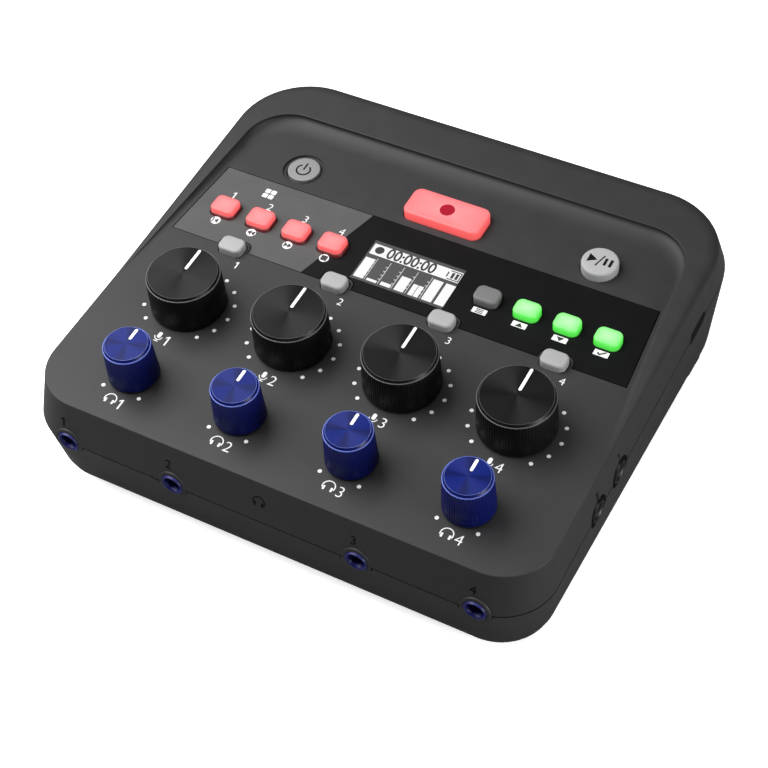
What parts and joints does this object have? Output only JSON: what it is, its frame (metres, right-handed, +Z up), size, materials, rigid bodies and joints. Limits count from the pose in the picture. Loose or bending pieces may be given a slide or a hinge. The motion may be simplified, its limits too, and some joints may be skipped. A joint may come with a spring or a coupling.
{
  "type": "podcast recorder",
  "caption": "Wedge-shaped desktop podcast recorder with rows of gain and headphone knobs, lit pads and buttons, a small display and microphone sockets at the back",
  "frame": {"origin": "on the desk, under the middle of the case's bounding box", "axes": "+X to the right as the user faces the controls, +Y to the back, +Z up"},
  "size_m": [0.1562, 0.1505, 0.0558],
  "materials": {
    "case": "fine matte",
    "fascia": "printed satin",
    "window": "clear gloss over a dark display",
    "display": "plain",
    "board": "solder mask",
    "pot": "plain",
    "switch": "plain",
    "light": "clear",
    "socket": "plain",
    "collar": "satin",
    "port": "plain",
    "contact": "plated",
    "screw": "plain",
    "foot": "matte",
    "gain_knob": "spun top, ribbed side",
    "phones_knob": "spun top, ribbed side",
    "shaft": "plain",
    "red_key": "translucent, lit red",
    "green_key": "translucent, lit green",
    "grey_key": "matte",
    "dark_key": "matte"
  },
  "bodies": {
    "case": {"top_case": "case", "bottom_case": "case", "fascia_panel": "fascia", "display_window": "window", "display_module": "display", "main_board": "board", "gain_pots": "pot", "phones_pots": "pot", "key_switches": "switch", "key_lights": "light", "phones_jacks": "socket", "phones_collars": "collar", "line_jacks": "socket", "line_collars": "socket", "usb_socket": "port", "card_socket": "port", "mic_socket_1": "socket", "mic_socket_2": "socket", "mic_socket_3": "socket", "mic_socket_4": "socket", "mic_inserts": "socket", "battery_contacts": "contact", "case_screws": "screw", "board_screws": "screw", "front_feet": "foot", "rear_feet": "foot"},
    "door": {"battery_door": "case"},
    "gain_1": {"gain_knob_1": "gain_knob", "gain_shaft_1": "shaft"},
    "gain_2": {"gain_knob_2": "gain_knob", "gain_shaft_2": "shaft"},
    "gain_3": {"gain_knob_3": "gain_knob", "gain_shaft_3": "shaft"},
    "gain_4": {"gain_knob_4": "gain_knob", "gain_shaft_4": "shaft"},
    "phones_1": {"phones_knob_1": "phones_knob", "phones_shaft_1": "shaft"},
    "phones_2": {"phones_knob_2": "phones_knob", "phones_shaft_2": "shaft"},
    "phones_3": {"phones_knob_3": "phones_knob", "phones_shaft_3": "shaft"},
    "phones_4": {"phones_knob_4": "phones_knob", "phones_shaft_4": "shaft"},
    "pad_key_a": {"pad_button_a": "red_key"},
    "pad_key_b": {"pad_button_b": "red_key"},
    "pad_key_c": {"pad_button_c": "red_key"},
    "pad_key_d": {"pad_button_d": "red_key"},
    "mute_key_1": {"mute_button_1": "grey_key"},
    "mute_key_2": {"mute_button_2": "grey_key"},
    "mute_key_3": {"mute_button_3": "grey_key"},
    "mute_key_4": {"mute_button_4": "grey_key"},
    "menu_key": {"menu_button": "dark_key"},
    "tone_key": {"tone_button": "green_key"},
    "level_key": {"level_button": "green_key"},
    "noise_key": {"noise_button": "green_key"},
    "record_key": {"record_button": "red_key"},
    "power_key": {"power_button": "dark_key"},
    "play_key": {"play_button": "grey_key"}
  },
  "joints": [
    {"name": "door_swing", "type": "hinge", "parent": "case", "child": "door", "pos_m": [0, -0.0314, 0.00297], "axis": [-1, 0, 0], "range_deg": [0, 95]},
    {"name": "gain_turn_1", "type": "hinge", "parent": "case", "child": "gain_1", "pos_m": [-0.051, -0.02887, 0.04712], "axis": [0, -0.1219, 0.9925], "range_deg": [-140, 140]},
    {"name": "gain_turn_2", "type": "hinge", "parent": "case", "child": "gain_2", "pos_m": [-0.017, -0.02887, 0.04712], "axis": [0, -0.1219, 0.9925], "range_deg": [-140, 140]},
    {"name": "gain_turn_3", "type": "hinge", "parent": "case", "child": "gain_3", "pos_m": [0.017, -0.02887, 0.04712], "axis": [0, -0.1219, 0.9925], "range_deg": [-140, 140]},
    {"name": "gain_turn_4", "type": "hinge", "parent": "case", "child": "gain_4", "pos_m": [0.051, -0.02887, 0.04712], "axis": [0, -0.1219, 0.9925], "range_deg": [-140, 140]},
    {"name": "phones_turn_1", "type": "hinge", "parent": "case", "child": "phones_1", "pos_m": [-0.051, -0.05706, 0.04365], "axis": [0, -0.1219, 0.9925], "range_deg": [-140, 140]},
    {"name": "phones_turn_2", "type": "hinge", "parent": "case", "child": "phones_2", "pos_m": [-0.017, -0.05706, 0.04365], "axis": [0, -0.1219, 0.9925], "range_deg": [-140, 140]},
    {"name": "phones_turn_3", "type": "hinge", "parent": "case", "child": "phones_3", "pos_m": [0.017, -0.05706, 0.04365], "axis": [0, -0.1219, 0.9925], "range_deg": [-140, 140]},
    {"name": "phones_turn_4", "type": "hinge", "parent": "case", "child": "phones_4", "pos_m": [0.051, -0.05706, 0.04365], "axis": [0, -0.1219, 0.9925], "range_deg": [-140, 140]},
    {"name": "pad_key_a_press", "type": "slide", "parent": "case", "child": "pad_key_a", "axis": [0, 0.1219, -0.9925], "range_m": [0, 0.0008], "stiffness_N_per_m": 500},
    {"name": "pad_key_b_press", "type": "slide", "parent": "case", "child": "pad_key_b", "axis": [0, 0.1219, -0.9925], "range_m": [0, 0.0008], "stiffness_N_per_m": 500},
    {"name": "pad_key_c_press", "type": "slide", "parent": "case", "child": "pad_key_c", "axis": [0, 0.1219, -0.9925], "range_m": [0, 0.0008], "stiffness_N_per_m": 500},
    {"name": "pad_key_d_press", "type": "slide", "parent": "case", "child": "pad_key_d", "axis": [0, 0.1219, -0.9925], "range_m": [0, 0.0008], "stiffness_N_per_m": 500},
    {"name": "mute_key_1_press", "type": "slide", "parent": "case", "child": "mute_key_1", "axis": [0, 0.1219, -0.9925], "range_m": [0, 0.0008], "stiffness_N_per_m": 500},
    {"name": "mute_key_2_press", "type": "slide", "parent": "case", "child": "mute_key_2", "axis": [0, 0.1219, -0.9925], "range_m": [0, 0.0008], "stiffness_N_per_m": 500},
    {"name": "mute_key_3_press", "type": "slide", "parent": "case", "child": "mute_key_3", "axis": [0, 0.1219, -0.9925], "range_m": [0, 0.0008], "stiffness_N_per_m": 500},
    {"name": "mute_key_4_press", "type": "slide", "parent": "case", "child": "mute_key_4", "axis": [0, 0.1219, -0.9925], "range_m": [0, 0.0008], "stiffness_N_per_m": 500},
    {"name": "menu_key_press", "type": "slide", "parent": "case", "child": "menu_key", "axis": [0, 0.1219, -0.9925], "range_m": [0, 0.0008], "stiffness_N_per_m": 500},
    {"name": "tone_key_press", "type": "slide", "parent": "case", "child": "tone_key", "axis": [0, 0.1219, -0.9925], "range_m": [0, 0.0008], "stiffness_N_per_m": 500},
    {"name": "level_key_press", "type": "slide", "parent": "case", "child": "level_key", "axis": [0, 0.1219, -0.9925], "range_m": [0, 0.0008], "stiffness_N_per_m": 500},
    {"name": "noise_key_press", "type": "slide", "parent": "case", "child": "noise_key", "axis": [0, 0.1219, -0.9925], "range_m": [0, 0.0008], "stiffness_N_per_m": 500},
    {"name": "record_key_press", "type": "slide", "parent": "case", "child": "record_key", "axis": [0, 0.1219, -0.9925], "range_m": [0, 0.0008], "stiffness_N_per_m": 500},
    {"name": "power_key_press", "type": "slide", "parent": "case", "child": "power_key", "axis": [0, 0.1219, -0.9925], "range_m": [0, 0.0008], "stiffness_N_per_m": 500},
    {"name": "play_key_press", "type": "slide", "parent": "case", "child": "play_key", "axis": [0, 0.1219, -0.9925], "range_m": [0, 0.0008], "stiffness_N_per_m": 500}
  ]
}
